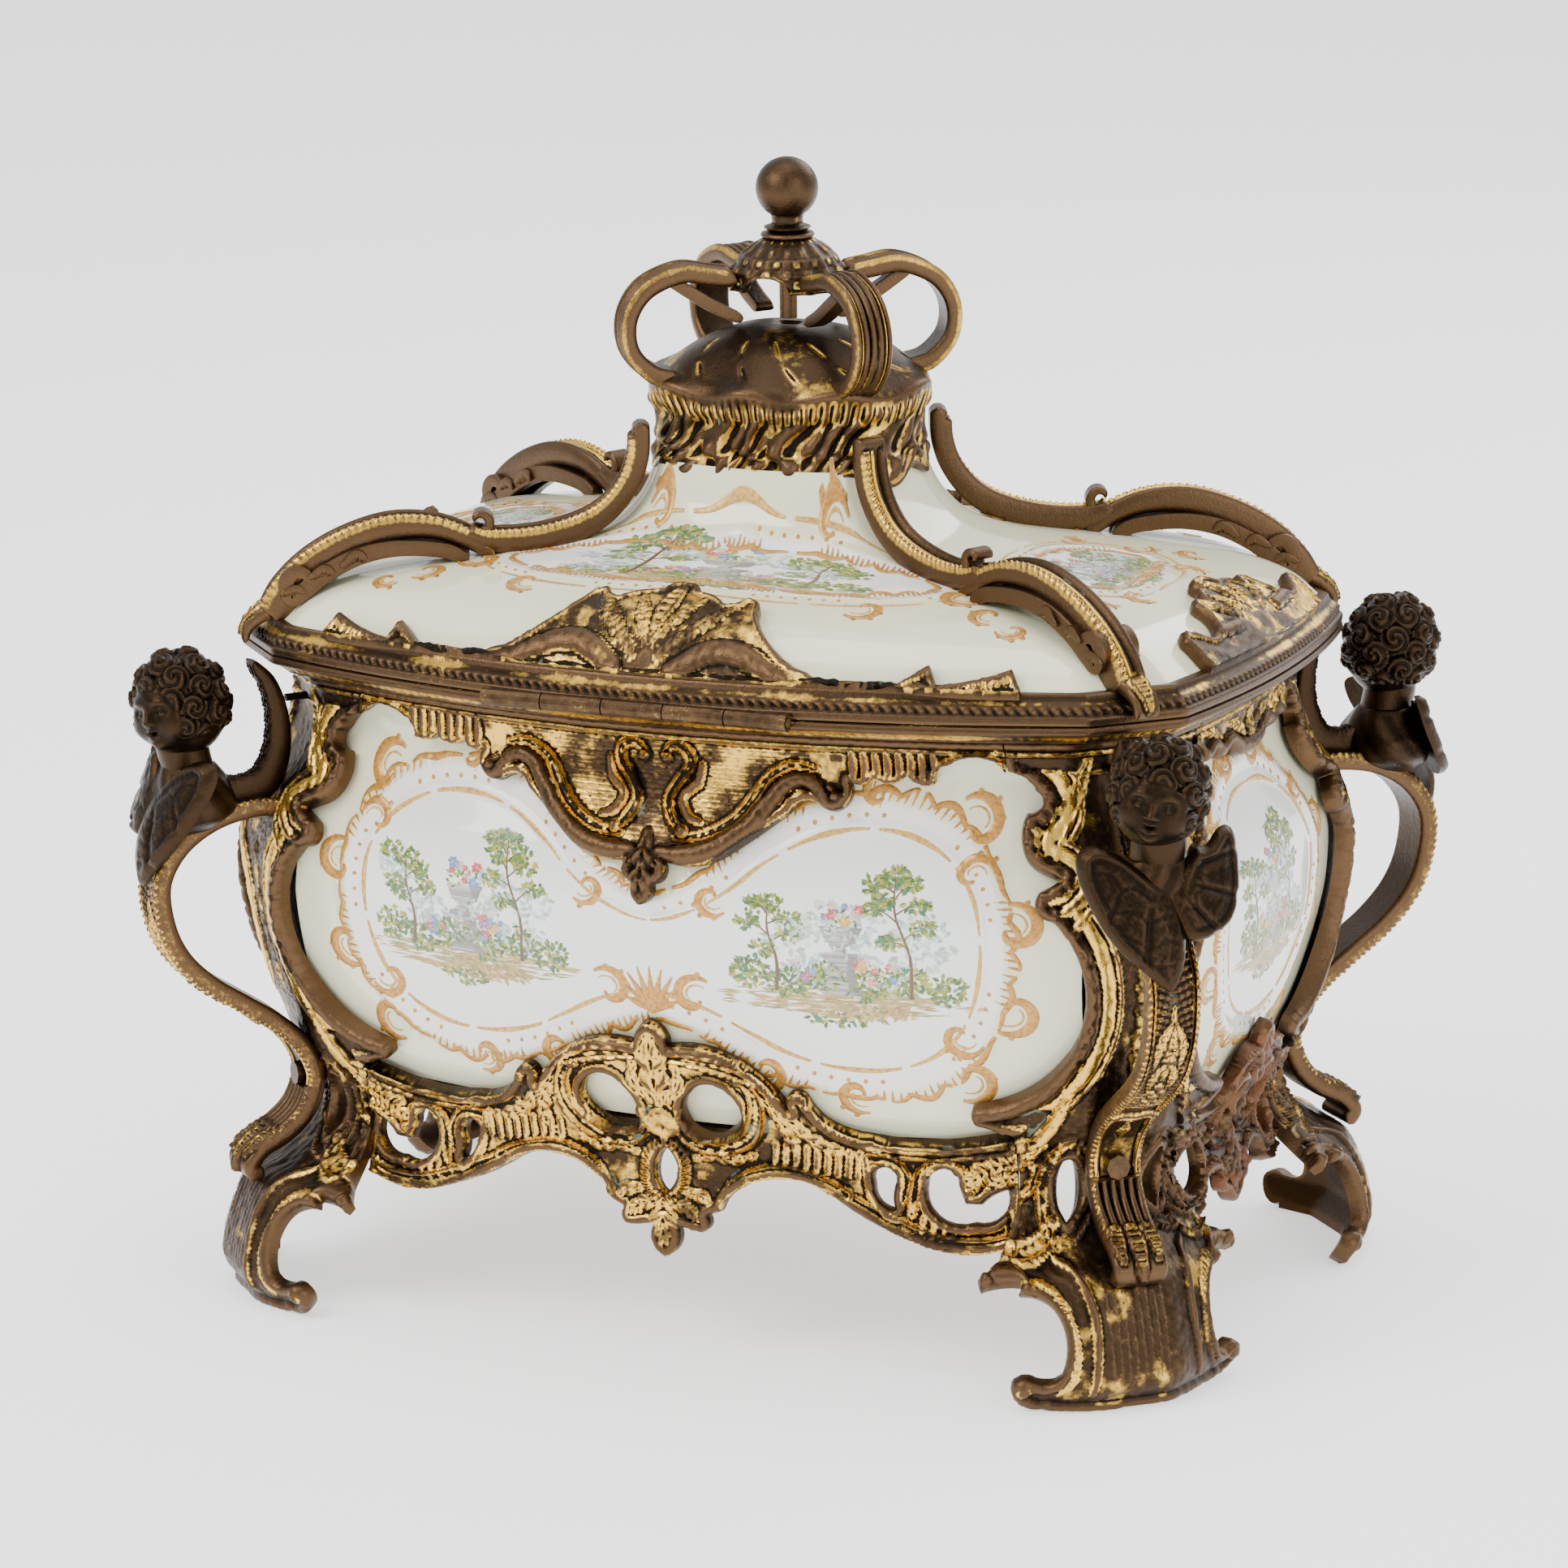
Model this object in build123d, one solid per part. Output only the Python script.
from build123d import *
import os
from math import atan2, cos, pi, radians, sin, sqrt

# Table casket: four glazed porcelain plaques and a four-sided porcelain lid in cast bronze mounts.
# All sizes are millimetres. The origin is on the table under the middle of the casket.
# X runs along the length, Y from the hinge side (-Y) to the lock side (+Y), Z is up.

# Rim, where the lid meets the body
RIM_HALF_LENGTH = 141.0
RIM_HALF_DEPTH = 82.1
RIM_CANT = 19.7
SEAM_HEIGHT = 185.8
SEAM_GAP = 0.4
BODY_RIM_HEIGHT = 5.6
LID_RIM_HEIGHT = 8.0
BODY_RIM_WIDTH = 17.0
LID_RIM_WIDTH = 14.0

# Walls and the gaps between pieces
MOUNT_WALL = 5.0
PORCELAIN_WALL = 6.0
CLEARANCE = 0.3
JOINT_GAP = 0.3

# The bombe body and its legs: share of the height under the rim, how far the corner stands
# out past the rim's in X and in Y, and the cant
BODY_PROFILE = [
    (0.000, 0.0, 9.9, 16.0),
    (0.060, 4.8, 13.7, 16.5),
    (0.178, -0.6, 8.0, 15.0),
    (0.217, -8.5, 0.0, 14.0),
    (0.261, -15.5, -8.0, 13.0),
    (0.306, -16.5, -11.2, 13.5),
    (0.356, -13.0, -11.0, 15.0),
    (0.411, -7.6, -7.6, 16.5),
    (0.572, -0.3, -0.7, 19.0),
    (0.656, 1.6, 1.2, 19.5),
    (0.733, 1.6, 1.0, 19.5),
    (0.800, -1.6, -1.9, 19.5),
    (0.867, -7.6, -7.2, 19.0),
    (0.933, -10.8, -10.0, 18.5),
    (1.000, -9.2, -7.9, 19.0),
]

# The aprons hang straighter than the legs between them
APRON_PROFILE = [
    (0.100, -14.6, -9.6, 13.0),
    (0.217, -14.8, -9.8, 13.0),
    (0.261, -15.6, -10.4, 13.0),
    *[row for row in BODY_PROFILE if 0.3 < row[0] < 0.6],
]

# The ogee lid: height over the rim's top, the corner inside the rim's in X and in Y, the cant
LID_PROFILE = [
    (-4.0, 6.4, 3.7, 18.0),
    (0.0, 6.4, 3.7, 18.0),
    (6.0, 13.3, 7.4, 16.8),
    (11.0, 25.5, 13.8, 15.5),
    (14.5, 43.4, 22.9, 14.0),
    (17.0, 63.0, 32.9, 12.5),
    (20.0, 83.5, 43.4, 11.0),
    (24.5, 96.0, 49.9, 9.5),
    (31.0, 103.0, 53.7, 8.0),
    (39.0, 107.1, 55.9, 7.0),
    (47.0, 109.3, 57.0, 6.5),
]

# How far a side bows, for each millimetre of half its length, and how many flats make a bow
RIM_BOW = (0.19, 0.10)
BODY_BOW = (0.175, 0.10)
LID_BOW = (0.165, 0.10)
CROWN_BOW = (0.12, 0.12)
BOW_FLATS = (6, 4)
ARC_FLATS = 2
LID_WALL_DROP = 4.5
LID_WALL_INSET = 3.5
CREST_WALL = 3.2
LID_OPENING_RADIUS = 13.0

# Where the aprons and friezes meet the corner castings, measured in from the rim's corner
APRON_JOINT = 43.0
FRIEZE_JOINT = 45.0
FLOOR_HEIGHT = 61.5
FLOOR_WALL = 3.0
LINING_WALL = 2.2

# Winged busts on their sprung straps, one at each corner
STRAP_ANGLE = 48.0
STRAP_ROOT_INSET_X = 22.0
STRAP_ROOT_INSET_Y = 17.9
STRAP_WIDTH = 15.5
STRAP_WALL = 4.6
BOLT_HEIGHT = 62.0
BOLT_HEAD_RADIUS = 3.4
BOLT_SHANK_RADIUS = 1.6
BOLT_HOLE_RADIUS = 1.9
ROD_SIDES = 8
BORE_SIDES = 12
HEAD_RADIUS = 14.2
PIN_DROP = 9.0
PIN_RADIUS = 1.1

# Scroll straps on the lid's corners
LID_STRAP_WIDTH = 9.0
SIDE_SCROLL_WIDTH = 4.0

# Crown
CROWN_WALL = 3.2
CROWN_SCROLL_ANGLE = 36.9
CROWN_SCROLL_WIDTH = 12.0
CANOPY_RADIUS = 16.0
CANOPY_WALL = 2.4
BALL_RADIUS = 8.7
NECK_LENGTH = 4.9
ROD_RADIUS = 2.5
ROD_HOLE_RADIUS = 2.6
NUT_RADIUS = 7.0
NUT_HEIGHT = 4.0

# Hinge, on the rear edge of the seam
HINGE_OUTSET = 0.2
KNUCKLE_COUNT = 5
KNUCKLE_LENGTH = 18.0
KNUCKLE_GAP = 0.4
KNUCKLE_RADIUS = 2.4
PIN_CLEARANCE = 0.05
HINGE_PIN_RADIUS = 1.2
LEAF_WALL = 1.2
LEAF_DEPTH = 11.0
LEAF_SEAT_GAP = 0.1

# Lock, on the front edge of the seam
LOCK_HALF_WIDTH = 16.0
LOCK_DEPTH = 9.0
LOCK_HEIGHT = 33.0
LOCK_WALL = 1.4
LOCK_FLANGE = 5.5
LINK_WALL = 2.0
LINK_WIDTH = 5.6
LINK_DROP = 10.0
BOLT_THROW = 5.0
BOLT_BAR_LENGTH = 11.5
BOLT_BAR_WIDTH = 2.2
BOLT_BAR_HEIGHT = 3.2
KEYHOLE_DROP = 20.0
KEYHOLE_RADIUS = 2.2

BODY_TOP = SEAM_HEIGHT - SEAM_GAP / 2 - BODY_RIM_HEIGHT
LID_BASE = SEAM_HEIGHT + SEAM_GAP / 2
LID_SEAT = LID_BASE + LID_RIM_HEIGHT
WALL_OFFSET = MOUNT_WALL + CLEARANCE
PIN_HEIGHT = BODY_TOP - PIN_DROP
KEYHOLE_HEIGHT = BODY_TOP - KEYHOLE_DROP
SPAN = 2 * RIM_HALF_LENGTH + 100

os.makedirs("parts", exist_ok=True)


def save(shape, name):
    """Write one named piece as a STEP file."""
    shape.label = name
    export_step(shape, f"parts/{name}.step")


def flat_face(points):
    """A flat face on a closed run of points."""
    return Face(Wire(Polyline(*points, close=True).edges()))


def plan(height, half_x, half_y, cant, bow, flats=BOW_FLATS):
    """The points of a cut-cornered rectangle with bowed sides, at a height."""
    side_x, side_y = half_x - cant, half_y - cant
    sides = [
        ((-side_x, -half_y), (side_x, -half_y), side_x * bow[0], flats[0]),
        ((half_x, -side_y), (half_x, side_y), side_y * bow[1], flats[1]),
        ((side_x, half_y), (-side_x, half_y), side_x * bow[0], flats[0]),
        ((-half_x, side_y), (-half_x, -side_y), side_y * bow[1], flats[1]),
    ]
    points = []
    for start, end, rise, count in sides:
        run = (end[0] - start[0], end[1] - start[1])
        length = sqrt(run[0] ** 2 + run[1] ** 2)
        for step in range(count + 1):
            part = step / count
            out = 4 * part * (1 - part) * rise / length
            points.append((start[0] + run[0] * part + run[1] * out, start[1] + run[1] * part - run[0] * out, height))
    return points


def stacked(outlines):
    """A solid from level outlines joined by flats, each split in two where it would twist."""
    faces = [flat_face(outlines[0]), flat_face(outlines[-1])]
    for low, high in zip(outlines, outlines[1:]):
        for index in range(len(low)):
            corners = [Vector(*point) for point in (low[index - 1], low[index], high[index], high[index - 1])]
            across = (corners[1] - corners[0]).cross(corners[2] - corners[0]).normalized()
            if abs(across.dot(corners[3] - corners[0])) < 1e-6:
                faces.append(flat_face(corners))
            else:
                faces += [flat_face(corners[:3]), flat_face([corners[0], corners[2], corners[3]])]
    return Part() + Solid(Shell(faces))


def cant_growth(offset):
    """How much a 45 degree cant widens when the outline moves outwards."""
    return offset * (2 - sqrt(2))


def rim_points(height, offset):
    """The rim's outline moved in or out."""
    return plan(
        height, RIM_HALF_LENGTH + offset, RIM_HALF_DEPTH + offset, RIM_CANT + cant_growth(offset), RIM_BOW)


def rim_stack(levels):
    """A moulding that follows the rim: (height, offset) pairs joined by slopes."""
    return stacked([rim_points(height, offset) for height, offset in levels])


def body_points(row, offset):
    """The swelling body's outline at a row of its profile, moved in or out."""
    share, out_x, out_y, cant = row
    half_x, half_y = RIM_HALF_LENGTH + out_x + offset, RIM_HALF_DEPTH + out_y + offset
    return plan(share * BODY_TOP, half_x, half_y, cant + cant_growth(offset), BODY_BOW)


def body_form(offset, rows=BODY_PROFILE):
    """The swelling body, moved in or out."""
    return stacked([body_points(row, offset) for row in rows])


def body_row(height):
    """The body's profile at any height under the rim."""
    share = height / BODY_TOP
    above = next(index for index, row in enumerate(BODY_PROFILE) if row[0] >= share)
    low, high = BODY_PROFILE[above - 1], BODY_PROFILE[above]
    part = (share - low[0]) / (high[0] - low[0])
    return tuple(a + (b - a) * part for a, b in zip(low, high))


def lid_form(offset, lift=0.0, rows=LID_PROFILE):
    """The lid's ogee, moved outwards and upwards."""
    outlines = []
    for rise, in_x, in_y, cant in rows:
        half_x, half_y = RIM_HALF_LENGTH - in_x + offset, RIM_HALF_DEPTH - in_y + offset
        outlines.append(plan(LID_SEAT + rise + lift, half_x, half_y, cant + cant_growth(offset), LID_BOW))
    return stacked(outlines)


def outline(start, steps):
    """The points of a run of lines and arcs: a step is an end point, or (point on arc, end point)."""
    points = [start]
    for step in steps:
        if isinstance(step[0], tuple):
            arc = ThreePointArc(points[-1], step[0], step[1])
            points += [(place.X, place.Y) for place in (arc @ (i / ARC_FLATS) for i in range(1, ARC_FLATS))]
            points.append(step[1])
        else:
            points.append(step)
    return points


def drawn(start, *steps):
    """A closed flat outline."""
    points = outline(start, steps)
    return flat_face(points[:-1] if points[-1] == start else points)


def mirrored(start, *steps):
    """A closed outline that is the same on both sides of its upright centre line."""
    points = outline(start, steps)
    return flat_face(points + [(-x, y) for x, y in points[-2:0:-1]])


def ribbon(points, widths, steps=2):
    """A scroll drawn as a band of changing width along a smooth line, with pointed ends."""
    middle = Spline(*points)
    count = steps * (len(points) - 1)
    left, right = [], []
    for index in range(count + 1):
        share = index / count
        place, along = middle @ share, middle % share
        at = share * (len(widths) - 1)
        low = min(int(at), len(widths) - 2)
        half = (widths[low] + (widths[low + 1] - widths[low]) * (at - low)) / 2
        left.append((place.X - along.Y * half, place.Y + along.X * half))
        right.append((place.X + along.Y * half, place.Y - along.X * half))
    first, last = middle @ 0, middle @ 1
    back, ahead = (middle % 0) * (widths[0] / 2), (middle % 1) * (widths[-1] / 2)
    tip, tail = (last.X + ahead.X, last.Y + ahead.Y), (first.X - back.X, first.Y - back.Y)
    return flat_face([tail, *left, tip, *right[::-1]])


def upright(face, amount, both=True):
    """Stand a flat drawing up in the XZ plane and give it a thickness along Y."""
    return extrude(Plane.XZ * face, amount, both=both)


def rear_slab(face):
    """A drawing of a long side, run through the hinge side (-Y)."""
    return extrude(Plane.XZ * face, SPAN, dir=(0, -1, 0))


def front_slab(face):
    """A drawing of a long side, run through the lock side (+Y)."""
    return extrude(Plane.XZ * face, SPAN, dir=(0, 1, 0))


def right_slab(face):
    """A drawing of a short side, run through the +X side."""
    return extrude(Plane.YZ * face, SPAN, dir=(1, 0, 0))


def quarters(piece, name):
    """The four corner copies of a piece modelled at +X +Y."""
    front_right = piece
    front_left = piece.mirror(Plane.YZ)
    save(front_right, f"{name}_front_right")
    save(front_left, f"{name}_front_left")
    save(front_right.mirror(Plane.XZ), f"{name}_rear_right")
    save(front_left.mirror(Plane.XZ), f"{name}_rear_left")


def four_copies(piece):
    """The four corner copies of a piece as one group of solids."""
    other = piece.mirror(Plane.YZ)
    return Compound(children=[piece, other, piece.mirror(Plane.XZ), other.mirror(Plane.XZ)])


def many_sided(radius, length):
    """A round bar or bore as flats about its circle, along Z and centred."""
    return extrude(RegularPolygon(radius, BORE_SIDES, major_radius=False), length / 2, both=True)


def box_between(low, high):
    """A block given by two opposite corners."""
    size = [high[i] - low[i] for i in range(3)]
    return Pos(*[(low[i] + high[i]) / 2 for i in range(3)]) * Box(*size)


# Corner castings, aprons and friezes are slices of one bronze shell round the body
mount_shell = body_form(0) - body_form(-MOUNT_WALL)

# The window side of a corner casting, by distance in from the rim's corner and height.
# Toe, the leg's inner curve, the joint with the apron, the tail scroll, the window's edge,
# the gadrooned spandrel and the joint with the frieze.
corner_edge = [
    (28.0, 0.8), ((34.8, 3.2), (34.2, 8.5)), ((31.8, 10.4), (28.6, 9.6)), ((24.2, 9.2), (21.2, 13.0)),
    ((20.8, 18.5), (23.5, 26.0)), ((28.0, 30.2), (35.0, 31.6)), (34.6, 34.4), ((40.0, 34.4), (45.2, 32.4)),
    (46.6, 35.0), (APRON_JOINT, 38.5), (APRON_JOINT, 70.0), (52.0, 73.0), ((53.6, 75.4), (51.0, 78.2)),
    ((39.0, 82.6), (29.0, 91.0)), ((20.4, 110.0), (24.5, 128.0)), (28.5, 133.0), ((33.5, 136.6), (33.0, 140.5)),
    (27.8, 143.5), (33.5, 146.0), ((39.6, 152.5), (39.4, 160.0)), ((35.6, 162.5), (37.6, 165.4)),
    ((40.5, 168.6), (FRIEZE_JOINT, 170.6)), (FRIEZE_JOINT, SPAN),
]


def corner_window(rim_half):
    """The part of a side that belongs to the corner casting, as a flat drawing."""
    far = rim_half + 60

    def place(point):
        return (rim_half - point[0], point[1])

    steps = [tuple(place(p) for p in step) if isinstance(step[0], tuple) else place(step) for step in corner_edge]
    return drawn((far, -1.0), (rim_half - 24.0, -1.0), *steps, (far, SPAN))


from_long_side = front_slab(corner_window(RIM_HALF_LENGTH))
from_short_side = right_slab(corner_window(RIM_HALF_DEPTH))
corner_shell = mount_shell & from_long_side & from_short_side

# Where the strap is bolted to the post
strap_root = Pos(RIM_HALF_LENGTH - STRAP_ROOT_INSET_X, RIM_HALF_DEPTH - STRAP_ROOT_INSET_Y, 0)
strap_place = strap_root * Rot(0, 0, STRAP_ANGLE)


def strap_rod(radius, start, end, height):
    """A round bar that points out along a corner's strap plane."""
    bar = extrude(RegularPolygon(radius, ROD_SIDES), end - start, dir=(0, 0, 1))
    return strap_place * Pos(start, 0, height) * Rot(0, 90, 0) * bar


corner_casting = corner_shell - strap_rod(BOLT_HOLE_RADIUS, -12, 12, BOLT_HEIGHT)
quarters(corner_casting, "corner_casting")

# Aprons: crest, arched underside with a hanging leaf, and pierced scrolls
apron_end = RIM_HALF_LENGTH - APRON_JOINT - JOINT_GAP
long_apron = mirrored(
    (0, 97.5), ((3.4, 95.5), (5.0, 90.5)), ((17.5, 90.6), (29.5, 84.5)), ((34.0, 80.0), (38.0, 74.2)),
    ((39.6, 79.6), (43.6, 77.6)), ((49.0, 70.2), (59.0, 66.6)), ((76.0, 65.6), (apron_end, 69.4)),
    (apron_end, 38.6), ((84.0, 35.9), (70.0, 38.8)), ((60.0, 43.0), (50.5, 48.2)),
    ((34.0, 53.8), (21.0, 49.4)), ((18.0, 46.5), (16.6, 43.2)), (12.6, 41.6), ((13.2, 38.4), (9.6, 36.6)),
    (3.8, 37.6), ((3.6, 31.4), (0, 28.5)),
)
oval = drawn((0, 46.8), ((3.2, 53.0), (0, 59.2)), ((-3.2, 53.0), (0, 46.8)))
scroll_eye = drawn((8.0, 65.5), ((6.9, 71.5), (10.0, 77.2)), ((15.6, 80.4), (21.4, 77.8)), ((23.6, 70.5), (19.2, 65.4)),
                   ((13.6, 63.8), (8.0, 65.5)))
teardrop = drawn((59.6, 54.0), ((62.8, 58.6), (65.4, 55.0)), ((64.6, 51.2), (65.4, 47.6)), ((61.2, 49.6), (59.6, 54.0)))
crescent = drawn((74.0, 55.5), ((78.6, 59.2), (82.0, 54.6)), (84.0, 49.6), (88.6, 49.6), ((92.6, 52.8), (95.0, 53.6)),
                 ((94.4, 47.4), (87.0, 44.6)), ((76.6, 46.4), (74.0, 55.5)))
for hole in (scroll_eye, teardrop, crescent):
    long_apron -= hole
    long_apron -= hole.mirror(Plane.YZ)
long_apron -= oval
apron_shell = body_form(0, APRON_PROFILE) - body_form(-MOUNT_WALL, APRON_PROFILE)
apron_rear = apron_shell & rear_slab(long_apron)
save(apron_rear, "apron_rear")
save(apron_rear.mirror(Plane.XZ), "apron_front")

side_end = RIM_HALF_DEPTH - APRON_JOINT - JOINT_GAP
short_apron = mirrored(
    (0, 86.0), ((3.0, 84.5), (4.4, 80.4)), ((13.0, 79.0), (19.5, 71.0)), ((26.0, 67.6), (side_end, 69.4)),
    (side_end, 38.6), ((31.5, 35.6), (24.0, 38.4)), ((18.0, 45.0), (10.0, 43.6)), ((9.4, 39.0), (5.6, 37.0)),
    ((3.4, 34.4), (0, 32.5)),
)
side_eye = drawn((5.6, 62.0), ((8.6, 70.4), (14.6, 67.0)), ((15.6, 60.0), (10.0, 56.2)), ((6.2, 57.6), (5.6, 62.0)))
side_crescent = drawn((22.6, 54.0), ((28.0, 57.0), (35.6, 53.6)), ((34.4, 46.2), (27.6, 44.0)), ((22.8, 47.6), (22.6, 54.0)))
for hole in (side_eye, side_crescent):
    short_apron -= hole
    short_apron -= hole.mirror(Plane.YZ)
apron_right = apron_shell & right_slab(short_apron)
save(apron_right, "apron_right")
save(apron_right.mirror(Plane.YZ), "apron_left")

# Friezes under the rim: gadroons and a hanging lambrequin
frieze_end = RIM_HALF_LENGTH - FRIEZE_JOINT - JOINT_GAP
frieze_top = BODY_TOP - CLEARANCE
long_frieze = mirrored(
    (0, frieze_top), (frieze_end, frieze_top), (frieze_end, 170.8), ((88.0, 174.2), (80.8, 171.6)),
    ((77.6, 169.6), (77.4, 166.8)), ((73.4, 166.2), (70.0, 168.8)), ((65.0, 166.2), (60.6, 168.0)),
    ((57.6, 165.6), (54.4, 166.8)), ((53.8, 160.2), (47.6, 159.6)), ((42.6, 161.0), (38.4, 157.6)),
    ((31.6, 152.8), (24.0, 147.4)), ((15.0, 143.2), (5.6, 143.6)), ((6.0, 139.4), (3.0, 137.4)), ((2.6, 133.6), (0, 131.5)),
)
keyhole_face = Pos(0, KEYHOLE_HEIGHT) * RegularPolygon(KEYHOLE_RADIUS, BORE_SIDES, major_radius=False)
keyhole_face += Pos(0, KEYHOLE_HEIGHT - 3.4) * Rectangle(2.0, 5.0)
keyhole = front_slab(keyhole_face)
frieze_rear = mount_shell & rear_slab(long_frieze)
save(frieze_rear, "frieze_rear")
save(frieze_rear.mirror(Plane.XZ) - keyhole, "frieze_front")

side_frieze_end = RIM_HALF_DEPTH - FRIEZE_JOINT - JOINT_GAP
short_frieze = mirrored(
    (0, frieze_top), (side_frieze_end, frieze_top), (side_frieze_end, 172.0), ((33.6, 171.0), (31.6, 166.8)),
    ((27.6, 165.4), (24.6, 168.0)), ((19.0, 164.6), (13.4, 167.2)), ((6.0, 162.6), (0, 162.4)),
)
frieze_right = mount_shell & right_slab(short_frieze)
save(frieze_right, "frieze_right")
save(frieze_right.mirror(Plane.YZ), "frieze_left")

# Porcelain plaques behind the mounts
plaque_low = FLOOR_HEIGHT + FLOOR_WALL + CLEARANCE
plaque_high = BODY_TOP - CLEARANCE
panel_shell = body_form(-WALL_OFFSET) - body_form(-WALL_OFFSET - PORCELAIN_WALL, BODY_PROFILE[::2])


def plaque_outline(rim_half):
    """A plaque's edge, just inside the body's cants."""
    return mirrored(
        (0, plaque_high), (rim_half - 31.4, plaque_high), (rim_half - 31.4, plaque_high - 14),
        ((rim_half - 24.5, 142.0), (rim_half - 21.4, 118.0)), ((rim_half - 22.6, 92.0), (rim_half - 33.0, plaque_low)),
        (0, plaque_low),
    )


plaque_rear = panel_shell & rear_slab(plaque_outline(RIM_HALF_LENGTH))
save(plaque_rear, "body_plaque_rear")
save(plaque_rear.mirror(Plane.XZ) - keyhole, "body_plaque_front")
plaque_right = panel_shell & right_slab(plaque_outline(RIM_HALF_DEPTH))
save(plaque_right, "body_plaque_right")
save(plaque_right.mirror(Plane.YZ), "body_plaque_left")


def body_slice(height, offset, thickness):
    """A flat plate that fills the body's outline at a height."""
    return extrude(flat_face(body_points(body_row(height), offset)), thickness, dir=(0, 0, 1))


save(body_slice(FLOOR_HEIGHT, -WALL_OFFSET - CLEARANCE, FLOOR_WALL), "floor_plate")
lining_offset = -WALL_OFFSET - PORCELAIN_WALL - 2 * CLEARANCE
save(body_slice(plaque_low, lining_offset, LINING_WALL), "floor_lining")

# Rims, with a groove for the hinge's barrel and seats for its leaves
rim_reach = rim_points(0, 0)[BOW_FLATS[0] // 2][1]
hinge_y = rim_reach - HINGE_OUTSET
hinge_length = KNUCKLE_COUNT * KNUCKLE_LENGTH
barrel_room = Pos(0, hinge_y, SEAM_HEIGHT) * Rot(0, 90, 0) * many_sided(KNUCKLE_RADIUS + 2 * CLEARANCE, hinge_length + 2)
leaf_back = hinge_y + KNUCKLE_RADIUS + LEAF_DEPTH
leaf_reach = leaf_back + LEAF_SEAT_GAP
seat_half = hinge_length / 2 + 1
seam_low, seam_high = SEAM_HEIGHT - SEAM_GAP / 2, SEAM_HEIGHT + SEAM_GAP / 2
seat_depth = LEAF_WALL + 2 * LEAF_SEAT_GAP
body_seat = box_between((-seat_half, hinge_y, seam_low - seat_depth), (seat_half, leaf_reach, seam_high))
lid_seat = box_between((-seat_half, hinge_y, seam_low), (seat_half, leaf_reach, seam_high + seat_depth))

body_rim = rim_stack([(BODY_TOP, -6.0), (BODY_TOP + 2.6, -2.4), (BODY_TOP + 3.6, 0), (seam_low, 0)])
body_rim -= extrude(flat_face(rim_points(BODY_TOP - 1, -BODY_RIM_WIDTH)), 12, dir=(0, 0, 1))
save(body_rim - barrel_room - body_seat, "body_rim")

lid_moulding = [(LID_BASE, 0), (LID_BASE + 2.2, 0), (LID_BASE + 3.0, -1.2), (LID_BASE + 4.4, -1.4),
                (LID_BASE + 6.2, -3.4), (LID_SEAT, -4.2)]
lid_rim_room = rim_stack([(LID_BASE - 3, CLEARANCE)] + [
    (height + CLEARANCE, offset + CLEARANCE) for height, offset in lid_moulding])
lid_rim = rim_stack(lid_moulding)
lid_rim -= extrude(flat_face(rim_points(LID_BASE - 1, -LID_RIM_WIDTH)), 12, dir=(0, 0, 1))
save(lid_rim - barrel_room - lid_seat, "lid_rim")

# Lid plaques: four porcelain gores that meet under the corner straps
lid_outer = lid_form(0, CLEARANCE)
lid_hollow = lid_form(-LID_WALL_INSET, CLEARANCE - LID_WALL_DROP, LID_PROFILE[::2])
lid_room = lid_form(CLEARANCE, 2 * CLEARANCE)
lid_opening = extrude(RegularPolygon(LID_OPENING_RADIUS, 8), SPAN, dir=(0, 0, 1))
lid_shell = lid_outer - lid_hollow - lid_opening
lid_shell -= box_between((-SPAN, -SPAN, 0), (SPAN, SPAN, LID_SEAT + CLEARANCE))
ridge_low = (RIM_HALF_LENGTH - 9.9, RIM_HALF_DEPTH - 9.9)
ridge_run = (106.0, 52.0)
ridge_length = sqrt(ridge_run[0] ** 2 + ridge_run[1] ** 2)
ridge_angle = -180 + 26.13


def ridge_point(inward, aside):
    """A plan point by distance in from the rim's corner along the ridge, and square to it."""
    step = (-ridge_run[0] / ridge_length, -ridge_run[1] / ridge_length)
    return (ridge_low[0] + step[0] * inward - step[1] * aside, ridge_low[1] + step[1] * inward + step[0] * aside)


ridge_top = LID_SEAT + LID_PROFILE[-1][0] + 10
long_out, long_in = ridge_point(-40, -JOINT_GAP), ridge_point(ridge_length, -JOINT_GAP)
short_out, short_in = ridge_point(-40, JOINT_GAP), ridge_point(ridge_length, JOINT_GAP)
long_gore = Polyline((0, 0), long_in, long_out, (long_out[0], SPAN), (-long_out[0], SPAN), (-long_out[0], long_out[1]),
                     (-long_in[0], long_in[1]), close=True)
short_gore = Polyline((0, 0), short_in, short_out, (SPAN, short_out[1]), (SPAN, -short_out[1]),
                      (short_out[0], -short_out[1]), (short_in[0], -short_in[1]), close=True)
lid_front = lid_shell & extrude(make_face(long_gore), ridge_top, dir=(0, 0, 1))
lid_right = lid_shell & extrude(make_face(short_gore), ridge_top, dir=(0, 0, 1))
save(lid_front, "lid_plaque_front")
save(lid_front.mirror(Plane.XZ), "lid_plaque_rear")
save(lid_right, "lid_plaque_right")
save(lid_right.mirror(Plane.YZ), "lid_plaque_left")

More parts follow.
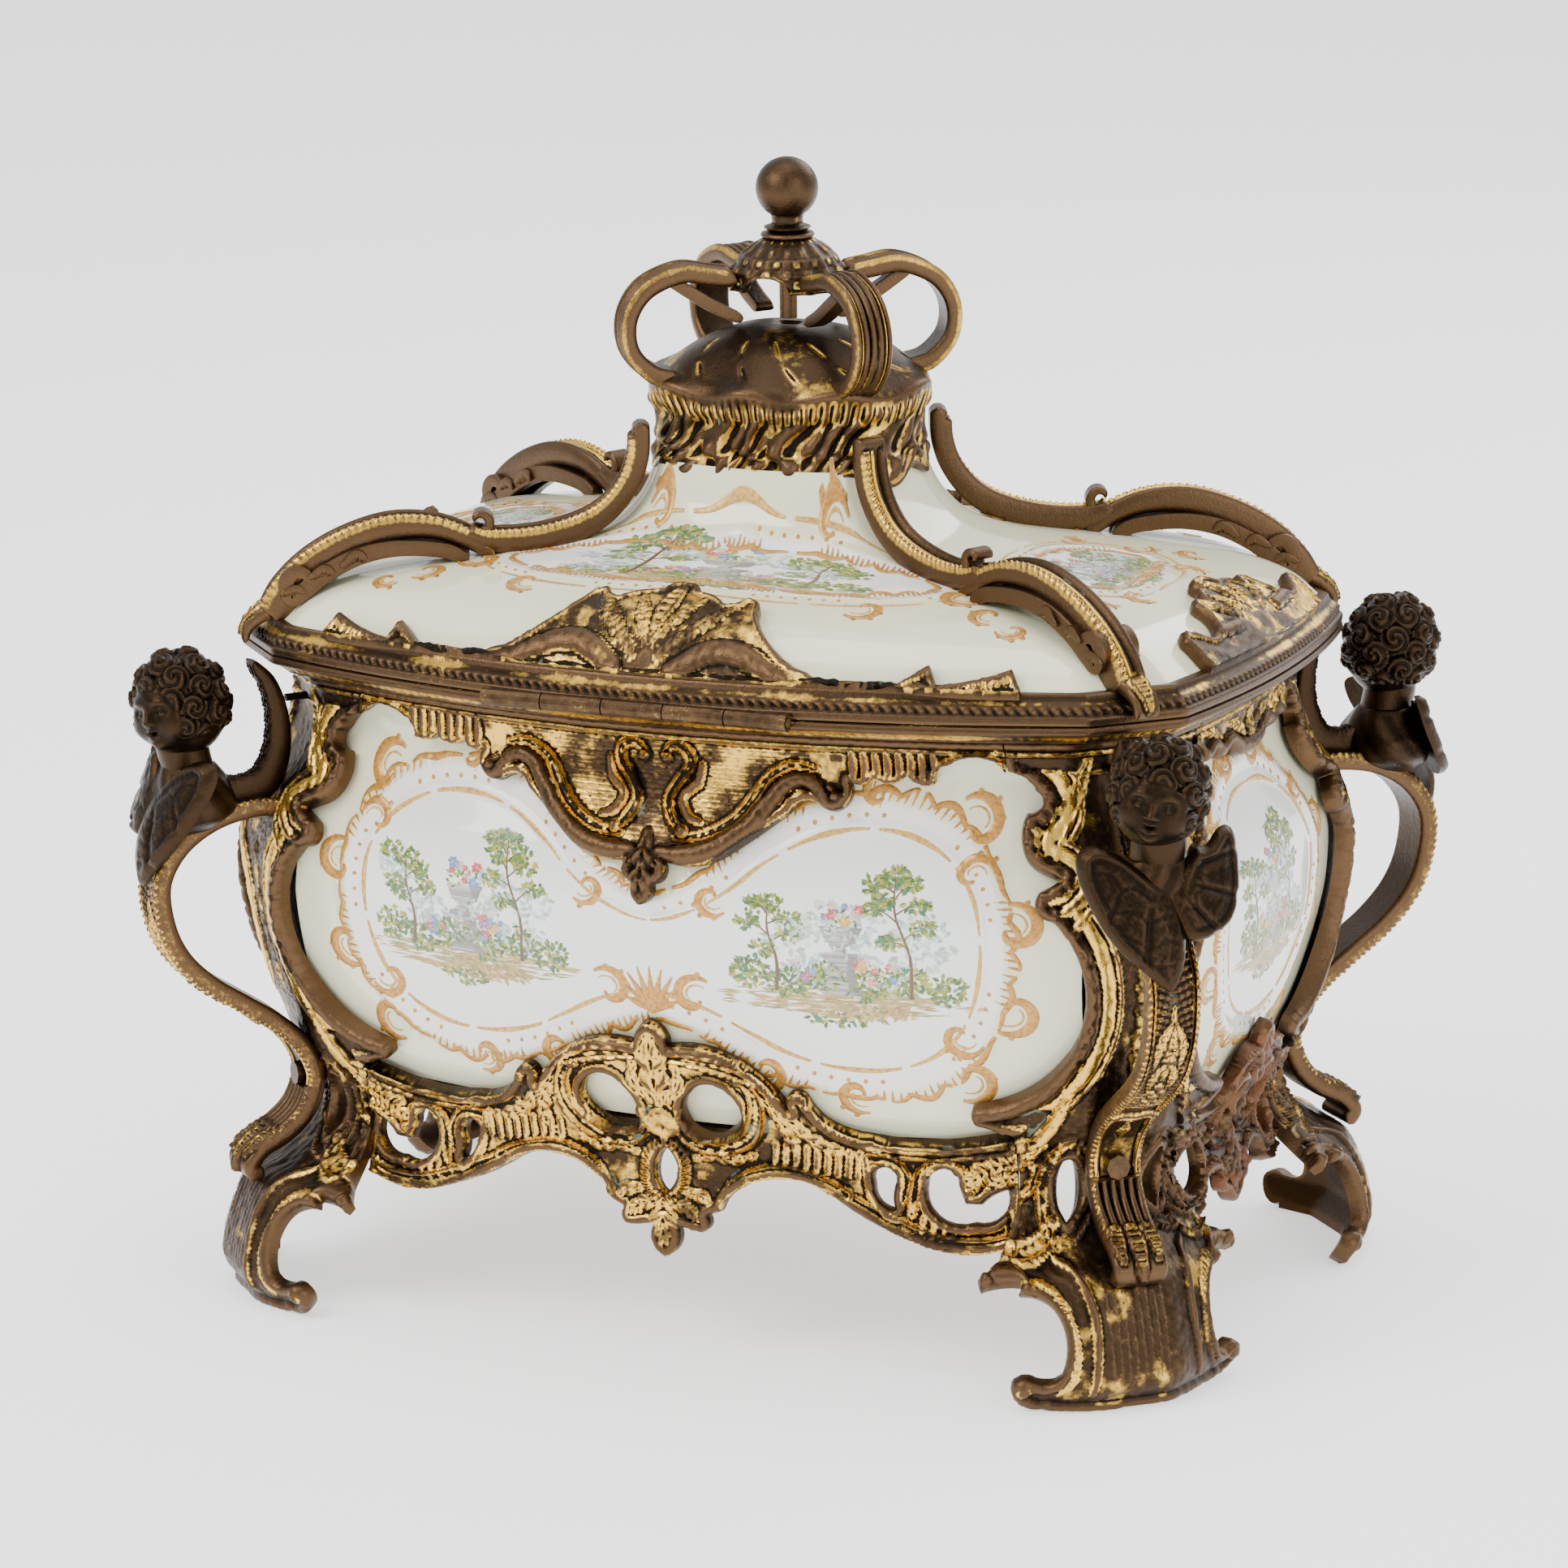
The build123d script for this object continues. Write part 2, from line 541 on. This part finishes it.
# Crests clasp the foot of each lid plaque: drawn in plan, from the middle of the side
crest_shell = lid_form(CLEARANCE + CREST_WALL, CREST_WALL) - lid_room - lid_rim_room
long_crest = mirrored(
    (0, -68.6), ((3.6, -69.4), (5.2, -73.2)), ((10.6, -74.6), (15.6, -78.6)), (18.6, -77.4), (20.8, -73.6), (24.6, -76.2),
    ((32.0, -88.6), (46.0, -93.2)), ((59.0, -94.4), (70.0, -90.6)), (77.6, -85.4), (80.6, -88.2), (91.0, -84.4),
    (99.0, -80.4), (102.6, -84.6), (102.6, -SPAN), (0, -SPAN),
)
short_crest = mirrored(
    (0, 119.0), ((4.0, 119.4), (5.6, 123.0)), ((10.0, 123.6), (12.6, 128.0)), (15.8, 124.2), (19.2, 126.0),
    ((24.0, 133.4), (33.0, 133.8)), (39.4, 129.6), (42.6, 133.0), (42.6, SPAN), (0, SPAN),
)
crest_rear = crest_shell & extrude(long_crest, SPAN, dir=(0, 0, 1))
crest_right = crest_shell & extrude(Rot(0, 0, -90) * short_crest, SPAN, dir=(0, 0, 1))
save(crest_rear, "lid_crest_rear")
save(crest_rear.mirror(Plane.XZ), "lid_crest_front")
save(crest_right, "lid_crest_right")
save(crest_right.mirror(Plane.YZ), "lid_crest_left")

# Corner scroll straps of the lid: a lower and an upper scroll, a leaf over the rim and a side scroll
strap_upper = ribbon(
    [(59.0, 217.0), (66.0, 214.4), (78.0, 214.4), (90.0, 217.4), (98.5, 222.4), (104.6, 230.0), (107.4, 238.0), (107.8, 247.0)],
    [2.0, 5.0, 6.0, 6.0, 5.4, 5.0, 5.0, 5.0])
strap_lower = ribbon(
    [(5.0, 194.0), (9.0, 201.0), (16.0, 208.4), (26.0, 214.6), (38.0, 218.6), (50.0, 218.4), (60.0, 214.6), (66.0, 210.6)],
    [9.0, 9.0, 8.0, 7.0, 6.0, 5.0, 4.4, 3.4])
strap_leaf = ribbon([(6.0, 197.0), (1.0, 194.8), (-2.6, 191.6), (-3.6, 187.6)], [5.0, 4.0, 3.0, 2.0])
side_scroll = ribbon(
    [(59.0, 208.6), (53.0, 212.4), (40.0, 213.4), (27.0, 209.6), (18.0, 202.6), (14.6, 196.4), (18.0, 192.6), (23.6, 194.0)],
    [4.0, 4.4, 5.0, 5.4, 5.4, 5.0, 4.6, 4.2])
lid_strap = upright(strap_upper, LID_STRAP_WIDTH / 2) + upright(strap_lower, LID_STRAP_WIDTH / 2)
lid_strap += upright(strap_leaf, LID_STRAP_WIDTH / 2)
lid_strap += Pos(0, -LID_STRAP_WIDTH / 2, 0) * upright(side_scroll, SIDE_SCROLL_WIDTH)
lid_strap = Pos(*ridge_low, 0) * Rot(0, 0, ridge_angle) * lid_strap
lid_strap = lid_strap - lid_room - lid_rim_room - box_between((0, 0, 0), (SPAN, SPAN, seam_high + CLEARANCE))

# Crown base: a skirt, a rolled lip and a low dome, seated on the top of the lid plaques
CROWN_PROFILE = [
    (231.0, 37.4, 29.6, 10.0), (239.0, 36.2, 28.4, 10.0), (247.0, 35.6, 28.0, 10.0), (253.0, 37.6, 30.0, 10.6),
    (256.6, 38.8, 31.2, 11.0), (258.6, 37.8, 30.2, 10.6), (262.0, 33.0, 26.4, 9.3), (267.0, 26.0, 20.8, 7.3),
    (270.6, 18.0, 14.4, 5.1), (272.4, 11.0, 8.8, 3.1),
]


def crown_form(offset, lift=0.0, rows=CROWN_PROFILE):
    """The crown's base moved outwards and upwards."""
    return stacked([
        plan(height + lift, x + offset, y + offset, cant + cant_growth(offset), CROWN_BOW, (2, 2))
        for height, x, y, cant in rows])


rod_hole = Pos(0, 0, 260) * many_sided(ROD_HOLE_RADIUS, 120)
crown_top = CROWN_PROFILE[-1][0]
crown_solid = crown_form(0) - crown_form(-CROWN_WALL, -CROWN_WALL, CROWN_PROFILE[::3])
save(crown_solid - lid_room - rod_hole, "crown_base")
crown_room = crown_form(CLEARANCE) + box_between((-9, -9, 260), (9, 9, crown_top + CLEARANCE))
quarters(lid_strap - crown_room, "lid_strap")

# Four ribbon scrolls that rise from the dome to the canopy, each with an inner tail
scroll_loop = ribbon(
    [(33.0, 259.6), (39.5, 261.6), (45.0, 268.0), (45.4, 276.6), (40.6, 284.0), (31.0, 288.0), (23.0, 287.0), (16.0, 286.0)],
    [4.6, 4.2, 3.6, 3.6, 4.0, 4.4, 4.2, 4.0])
scroll_tail = ribbon([(34.0, 286.6), (27.0, 282.0), (20.0, 277.6), (13.6, 274.6)], [3.0, 3.2, 3.2, 4.0])
crown_scroll = upright(scroll_loop, CROWN_SCROLL_WIDTH / 2) + upright(scroll_tail, CROWN_SCROLL_WIDTH / 4)
crown_scroll = Rot(0, 0, CROWN_SCROLL_ANGLE) * crown_scroll - crown_room
canopy_low, canopy_shoulder, canopy_top = 283.0, 288.0, 296.6


def canopy_form(inset):
    """The canopy over the scrolls, an eight-sided cap."""
    rows = [(canopy_low, 0), (canopy_shoulder, 0), (canopy_shoulder + 4, 3.0), (canopy_top - 1.6, 7.0), (canopy_top, 9.0)]
    outlines = []
    for height, taper in rows:
        corners = RegularPolygon(CANOPY_RADIUS - taper - inset, 8).vertices()
        corners = sorted(corners, key=lambda corner: atan2(corner.Y, corner.X))
        outlines.append([(corner.X, corner.Y, height - inset) for corner in corners])
    return stacked(outlines)


canopy = canopy_form(0) - canopy_form(CANOPY_WALL)
arch = upright(drawn((-4.6, canopy_low - 1), (-4.6, canopy_low + 1.6), ((0, canopy_low + 5.4), (4.6, canopy_low + 1.6)),
                     (4.6, canopy_low - 1)), 2 * CANOPY_RADIUS)
canopy = canopy - arch - Rot(0, 0, 90) * arch - rod_hole
save(canopy, "crown_canopy")
canopy_room = Pos(0, 0, canopy_low - 2) * extrude(RegularPolygon(CANOPY_RADIUS + CLEARANCE, 8), 30, dir=(0, 0, 1))
quarters(crown_scroll - canopy_room, "crown_scroll")

# Finial: ball, ringed neck and the long shank that draws the canopy and scrolls down on the dome
neck_low = canopy_top + CLEARANCE
nut_top = crown_top - CROWN_WALL - CLEARANCE
ball_height = neck_low + NECK_LENGTH + BALL_RADIUS
ball = [(ball_height - BALL_RADIUS * cos(pi * step / 7), BALL_RADIUS * sin(pi * step / 7)) for step in range(1, 7)]
neck = [(neck_low, 7.0), (neck_low + 1.2, 7.0), (neck_low + 1.8, 5.6), (neck_low + 2.8, 6.4),
        (neck_low + NECK_LENGTH - 0.5, 4.4)]
ball_foot, ball_crown = (ball_height - BALL_RADIUS, 3.0), (ball_height + BALL_RADIUS, 0.8)


def turned(rows, sides=12):
    """A turned form: (height, radius) rows round the Z axis."""
    turns = [2 * pi * (index + 0.5) / sides for index in range(sides)]
    return stacked([[(radius * cos(turn), radius * sin(turn), height) for turn in turns] for height, radius in rows])


finial = turned([*neck, ball_foot, *ball, ball_crown])
shank_low = nut_top - NUT_HEIGHT - 2
finial += Pos(0, 0, (shank_low + neck_low) / 2) * Cylinder(ROD_RADIUS, neck_low - shank_low)
save(finial, "finial")

# The nut that holds the shank, inside the dome
nut_face = RegularPolygon(NUT_RADIUS, 6) - RegularPolygon(ROD_HOLE_RADIUS, BORE_SIDES, major_radius=False)
save(Pos(0, 0, nut_top - NUT_HEIGHT) * extrude(nut_face, NUT_HEIGHT, dir=(0, 0, 1)), "finial_nut")

# Corner straps and busts
arm_line = [(11.0, 140.6), (20.0, 141.6), (32.0, 139.0), (42.0, 132.6), (47.6, 123.0), (46.8, 111.0), (42.4, 101.0),
            (34.4, 92.6), (24.4, 85.6), (15.0, 79.0), (7.6, 71.4), (4.0, 62.0), (7.0, 52.6), (13.4, 46.4), (21.0, 42.6),
            (24.6, 38.0), (22.0, 34.6)]
arm = ribbon(arm_line, [STRAP_WALL] * 15 + [5.4, 6.0], 1)
arm_room = ribbon(arm_line, [STRAP_WALL + 2 * CLEARANCE] * 15 + [6.0, 6.6], 1)
body_room = body_form(CLEARANCE)
herm_strap = strap_place * upright(arm, STRAP_WIDTH / 2)
bolt_seat = 4.0 + STRAP_WALL / 2
herm_strap = herm_strap - body_room - strap_rod(BOLT_HOLE_RADIUS, -12, 30, BOLT_HEIGHT)
herm_strap -= strap_rod(BOLT_HEAD_RADIUS + CLEARANCE, bolt_seat, 14, BOLT_HEIGHT)
quarters(herm_strap, "herm_strap")


def bust_form(rows, sides):
    """A rounded form: (height, outward place, half outward, half across) rows, joined by flats."""
    turns = [2 * pi * (index + 0.5) / sides for index in range(sides)]
    return stacked([
        [(out + half_out * cos(turn), half_across * sin(turn), height) for turn in turns]
        for height, out, half_out, half_across in rows])


head_middle = 38.6
head = bust_form([
    (157.6, 40.0, 5.0, 4.4), (161.0, 39.8, 9.6, 8.6), (166.0, head_middle, 12.8, 12.2),
    (173.0, head_middle, HEAD_RADIUS + 0.6, HEAD_RADIUS), (180.0, head_middle - 0.6, HEAD_RADIUS - 0.6, HEAD_RADIUS - 1.0),
    (185.4, head_middle - 1.0, 9.6, 9.4), (188.4, head_middle - 1.0, 4.0, 4.0)], 10)
neck_form = bust_form([(149.0, 36.0, 8.0, 9.0), (154.0, 37.6, 6.4, 6.4), (160.0, 38.6, 6.4, 6.2)], 8)
chest = bust_form([(137.0, 39.0, 9.0, 9.0), (142.0, 37.0, 12.0, 14.0), (147.0, 36.4, 11.4, 14.6), (151.4, 36.6, 7.6, 9.0)], 8)


def leaf_form(rows):
    """A leaf-like form: (height, near, far, left, right) rectangles joined by flats."""
    return stacked([
        [(near, left, height), (far, left, height), (far, right, height), (near, right, height)]
        for height, near, far, left, right in rows])


long_wing = leaf_form([
    (124.0, 52.0, 55.0, 3.4, 8.4), (131.0, 50.4, 55.0, -9.0, 9.6), (138.0, 46.4, 53.6, -17.0, 8.0),
    (146.0, 41.0, 51.0, -19.0, 4.0), (152.0, 39.0, 46.0, -15.0, -4.0)])
short_wing = upright(ribbon(
    [(33.0, 149.0), (24.0, 145.0), (15.4, 147.6), (11.0, 156.0), (10.4, 166.0), (13.0, 176.0), (18.0, 182.6)],
    [9.0, 11.0, 10.0, 8.4, 7.0, 5.4, 3.0]), 3.0)
cherub = head + neck_form + chest + long_wing + short_wing
cherub = strap_place * (cherub - upright(arm_room, STRAP_WIDTH / 2 + CLEARANCE)) - body_room
quarters(cherub, "herm_cherub")

# Bolts through the straps' knees and pins between the raised wings and the posts
bolt = strap_rod(BOLT_HEAD_RADIUS, bolt_seat + CLEARANCE, bolt_seat + 2.6, BOLT_HEIGHT)
bolt += strap_rod(BOLT_SHANK_RADIUS, -3.4, bolt_seat + CLEARANCE, BOLT_HEIGHT)
save(four_copies(bolt), "strap_bolts")
wing_pin = strap_rod(PIN_RADIUS, 0.0, 8.0, PIN_HEIGHT) - body_room
wing_pin -= strap_place * upright(ribbon(
    [(33.0, 149.0), (24.0, 145.0), (15.4, 147.6), (11.0, 156.0), (10.4, 166.0), (13.0, 176.0), (18.0, 182.6)],
    [9.0, 11.0, 10.0, 8.4, 7.0, 5.4, 3.0]), 4.0)
save(four_copies(wing_pin), "strap_pins")


# Hinge: leaves let into the rims, alternate knuckles and one long pin
def hinge_leaf(first, plate_low, plate_high):
    """A leaf with every second knuckle, from the first one given."""
    knuckle = many_sided(KNUCKLE_RADIUS, KNUCKLE_LENGTH - KNUCKLE_GAP)
    inner = hinge_y + KNUCKLE_RADIUS + 2 * CLEARANCE
    leaf = box_between((-hinge_length / 2, inner, plate_low), (hinge_length / 2, leaf_back, plate_high))
    for index in range(first, KNUCKLE_COUNT, 2):
        middle = (index + 0.5) * KNUCKLE_LENGTH - hinge_length / 2
        half = (KNUCKLE_LENGTH - KNUCKLE_GAP) / 2
        leaf += Pos(middle, hinge_y, SEAM_HEIGHT) * Rot(0, 90, 0) * knuckle
        leaf += box_between((middle - half, hinge_y, plate_low), (middle + half, inner, plate_high))
    bore = Pos(0, hinge_y, SEAM_HEIGHT) * Rot(0, 90, 0) * many_sided(HINGE_PIN_RADIUS + PIN_CLEARANCE, hinge_length + 4)
    return leaf - bore


save(hinge_leaf(0, seam_low - LEAF_SEAT_GAP - LEAF_WALL, seam_low - LEAF_SEAT_GAP), "hinge_body_leaf")
save(hinge_leaf(1, seam_high + LEAF_SEAT_GAP, seam_high + LEAF_SEAT_GAP + LEAF_WALL), "hinge_lid_leaf")
save(Pos(0, hinge_y, SEAM_HEIGHT) * Rot(0, 90, 0) * Cylinder(HINGE_PIN_RADIUS, hinge_length), "hinge_pin")

# Lock: a case under the front of the rim, its sliding bolt, and the link plate on the lid
panel_inner = -body_points(BODY_PROFILE[-2], -WALL_OFFSET - PORCELAIN_WALL)[BOW_FLATS[0] // 2][1]
lock_front = panel_inner - 1.4
lock_back = lock_front - LOCK_DEPTH
lock_top = seam_low - CLEARANCE
lock_low = lock_top - LOCK_HEIGHT
rim_inner = -rim_points(0, -BODY_RIM_WIDTH)[BOW_FLATS[0] // 2][1] - 1.0
lock_middle = (lock_front + lock_back) / 2
lock_case = box_between((-LOCK_HALF_WIDTH, lock_back, lock_low), (LOCK_HALF_WIDTH, lock_front, lock_top))
lock_case += box_between((-LOCK_HALF_WIDTH - LOCK_FLANGE, lock_back, lock_top - LOCK_WALL),
                         (LOCK_HALF_WIDTH + LOCK_FLANGE, rim_inner - 0.6, lock_top))
lock_case -= box_between(
    (LOCK_WALL - LOCK_HALF_WIDTH, lock_back + LOCK_WALL, lock_low + LOCK_WALL),
    (LOCK_HALF_WIDTH - LOCK_WALL, lock_front - LOCK_WALL, lock_top - LOCK_WALL))
link_slot = LINK_WALL / 2 + 1.0
lock_case -= box_between((-link_slot, lock_middle - LINK_WIDTH / 2 - 0.8, lock_top - 3),
                         (link_slot, lock_middle + LINK_WIDTH / 2 + 0.8, lock_top + 1))
bar_low = lock_top - LINK_DROP + 3.4
bar_back, bar_front = lock_middle - BOLT_BAR_WIDTH / 2, lock_middle + BOLT_BAR_WIDTH / 2
bar_end = -LINK_WALL / 2 - 0.8
lock_case += box_between((bar_end - BOLT_BAR_LENGTH + 0.6, lock_back + LOCK_WALL / 2, bar_low - 3),
                         (bar_end - 1.0, lock_front - LOCK_WALL / 2, bar_low - CLEARANCE))
save(lock_case - keyhole, "lock_case")
save(box_between((bar_end - BOLT_BAR_LENGTH, bar_back, bar_low), (bar_end, bar_front, bar_low + BOLT_BAR_HEIGHT)),
     "lock_bolt")
link_top = seam_high + CLEARANCE
staple = box_between((-LINK_WALL / 2, lock_middle - LINK_WIDTH / 2, lock_top - LINK_DROP + 1),
                     (LINK_WALL / 2, lock_middle + LINK_WIDTH / 2, link_top))
staple -= box_between(
    (-LINK_WALL, bar_back - 0.5, bar_low - 0.6), (LINK_WALL, bar_front + 0.5, bar_low + BOLT_BAR_HEIGHT + 0.6))
save(staple, "lock_staple")
lid_rim_inner = -rim_points(0, -LID_RIM_WIDTH)[BOW_FLATS[0] // 2][1]
save(box_between((-LOCK_HALF_WIDTH, lock_back, link_top), (LOCK_HALF_WIDTH, lid_rim_inner - 1.6, link_top + LOCK_WALL)),
     "lock_link_plate")
